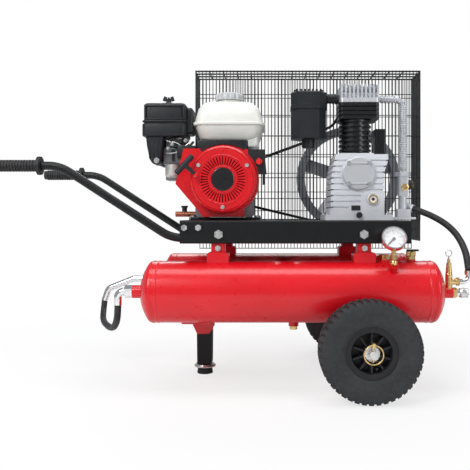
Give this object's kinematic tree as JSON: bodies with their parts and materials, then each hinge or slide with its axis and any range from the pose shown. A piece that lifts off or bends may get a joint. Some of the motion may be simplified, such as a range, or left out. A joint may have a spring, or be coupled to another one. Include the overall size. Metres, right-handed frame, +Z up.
{
  "type": "wheelbarrow air compressor",
  "caption": "Petrol-engined belt-driven piston air compressor on a barrow frame with twin tanks, two wheels, a centre leg and two handles.",
  "frame": {"origin": "on the floor under the middle of the machine", "axes": "+X from the handle grips to the air outlet, +Z up, -Y is the side with the recoil starter"},
  "size_m": [1.2435, 0.71, 0.89],
  "materials": {
    "tank_red": "gloss",
    "frame_black": "satin",
    "engine_red": "gloss",
    "zinc": "satin",
    "chrome": "polished",
    "brass": "polished",
    "cast_aluminium": "satin",
    "black_iron": "satin",
    "black_plastic": "matt",
    "cream_plastic": "gloss",
    "red_plastic": "gloss",
    "grey_plastic": "satin",
    "rubber_black": "matt",
    "tyre": "matt",
    "rim_black": "satin",
    "wire_black": "satin",
    "dial_white": "satin",
    "lens": "clear",
    "steel": "satin",
    "rope": "woven"
  },
  "bodies": {
    "root": {"air_cleaner": "black_plastic", "axle": "steel", "axle_bracket": "frame_black", "balance_hose": "rubber_black", "brass_fittings": "brass", "carburettor": "cast_aluminium", "chrome_fittings": "chrome", "cooling_tube": "cast_aluminium", "cross_members_and_decks": "frame_black", "delivery_hose": "rubber_black", "drive_belt": "rubber_black", "engine_crankcase": "cast_aluminium", "engine_cylinder": "cast_aluminium", "fan_shroud": "engine_red", "fasteners": "zinc", "fuel_tank": "cream_plastic", "gauge_case": "chrome", "gauge_dial": "dial_white", "gauge_lens": "lens", "grips": "rubber_black", "guard_far_mesh": "wire_black", "guard_near_mesh": "wire_black", "guard_panels": "frame_black", "handle_tubes": "frame_black", "intake_filter": "black_plastic", "left_tank": "tank_red", "leg": "frame_black", "muffler": "black_iron", "oil_filler": "black_plastic", "pump_crankcase": "cast_aluminium", "pump_cylinder": "black_iron", "pump_head": "cast_aluminium", "recoil_housing": "engine_red", "right_tank": "tank_red", "rubber_foot": "rubber_black", "safety_valve": "brass", "side_rails": "frame_black", "tank_bosses": "tank_red", "tank_brackets": "tank_red", "unloader_valve": "cast_aluminium"},
    "right_wheel": {"right_wheel_rim": "rim_black", "right_tyre": "tyre"},
    "left_wheel": {"left_wheel_rim": "rim_black", "left_tyre": "tyre"},
    "right_ring": {"right_lynch_ring": "brass"},
    "left_ring": {"left_lynch_ring": "brass"},
    "engine_rotor": {"crankshaft": "steel", "cooling_fan": "black_plastic"},
    "pump_rotor": {"pump_flywheel": "black_iron"},
    "starter": {"starter_handle": "black_plastic", "starter_rope": "rope"},
    "cap": {"fuel_cap": "grey_plastic"},
    "air_cleaner_nut": {"wing_nut": "zinc"},
    "choke": {"choke_lever": "black_plastic"},
    "throttle": {"throttle_lever": "black_plastic"},
    "switch": {"engine_switch": "red_plastic"},
    "needle": {"gauge_needle": "black_plastic"},
    "tap": {"tap_lever": "black_plastic"},
    "coupler": {"coupler_sleeve": "zinc"},
    "relief_ring": {"safety_ring": "steel"}
  },
  "joints": [
    {"name": "right_wheel_spin", "type": "hinge", "parent": "root", "child": "right_wheel", "pos_m": [0.339, -0.297, 0.125], "axis": [0, 1, 0], "continuous": true},
    {"name": "left_wheel_spin", "type": "hinge", "parent": "root", "child": "left_wheel", "pos_m": [0.339, 0.297, 0.125], "axis": [0, 1, 0], "continuous": true},
    {"name": "right_ring_swing", "type": "hinge", "parent": "root", "child": "right_ring", "pos_m": [0.339, -0.3515, 0.1495], "axis": [1, 0, 0], "range_deg": [-150, 0]},
    {"name": "left_ring_swing", "type": "hinge", "parent": "root", "child": "left_ring", "pos_m": [0.339, 0.3515, 0.1495], "axis": [1, 0, 0], "range_deg": [0, 150]},
    {"name": "pump_spin", "type": "hinge", "parent": "root", "child": "pump_rotor", "pos_m": [0.341, 0.14, 0.566], "axis": [0, 1, 0], "continuous": true},
    {"name": "crank_spin", "type": "hinge", "parent": "root", "child": "engine_rotor", "pos_m": [-0.0235, 0.14, 0.545], "axis": [0, 1, 0], "continuous": true},
    {"name": "starter_pull", "type": "slide", "parent": "root", "child": "starter", "axis": [-0.7379, 0, 0.6749], "range_m": [0, 0.5], "stiffness_N_per_m": 40, "deforming": ["starter_rope"]},
    {"name": "cap_turn", "type": "hinge", "parent": "root", "child": "cap", "pos_m": [-0.016, -0.02, 0.78], "axis": [0, 0, 1], "range_deg": [0, 90]},
    {"name": "wing_nut_turn", "type": "hinge", "parent": "root", "child": "air_cleaner_nut", "pos_m": [-0.182, -0.065, 0.77], "axis": [0, 0, 1], "continuous": true},
    {"name": "choke_swing", "type": "hinge", "parent": "root", "child": "choke", "pos_m": [-0.166, -0.09, 0.628], "axis": [0, 1, 0], "range_deg": [0, 50]},
    {"name": "throttle_swing", "type": "hinge", "parent": "root", "child": "throttle", "pos_m": [0.082, -0.155, 0.575], "axis": [0, 1, 0], "range_deg": [-35, 12]},
    {"name": "switch_turn", "type": "hinge", "parent": "root", "child": "switch", "pos_m": [0.07, -0.16, 0.593], "axis": [0, 1, 0], "range_deg": [0, 60]},
    {"name": "needle_swing", "type": "hinge", "parent": "root", "child": "needle", "pos_m": [0.408, -0.23824, 0.39225], "axis": [0, -0.866, 0.5], "range_deg": [-270, 0], "stiffness_Nm_per_rad": 0.002},
    {"name": "tap_turn", "type": "hinge", "parent": "root", "child": "tap", "pos_m": [0.466, -0.17, 0.358], "axis": [0, 0, 1], "range_deg": [0, 90]},
    {"name": "coupler_slide", "type": "slide", "parent": "root", "child": "coupler", "axis": [-1, 0, 0], "range_m": [0, 0.005], "stiffness_N_per_m": 800},
    {"name": "relief_lift", "type": "slide", "parent": "root", "child": "relief_ring", "axis": [0, 0, 1], "range_m": [0, 0.004], "stiffness_N_per_m": 500}
  ],
  "couplings": [
    {"joint": "crank_spin", "follows": "pump_spin", "ratio": 3.2532}
  ]
}
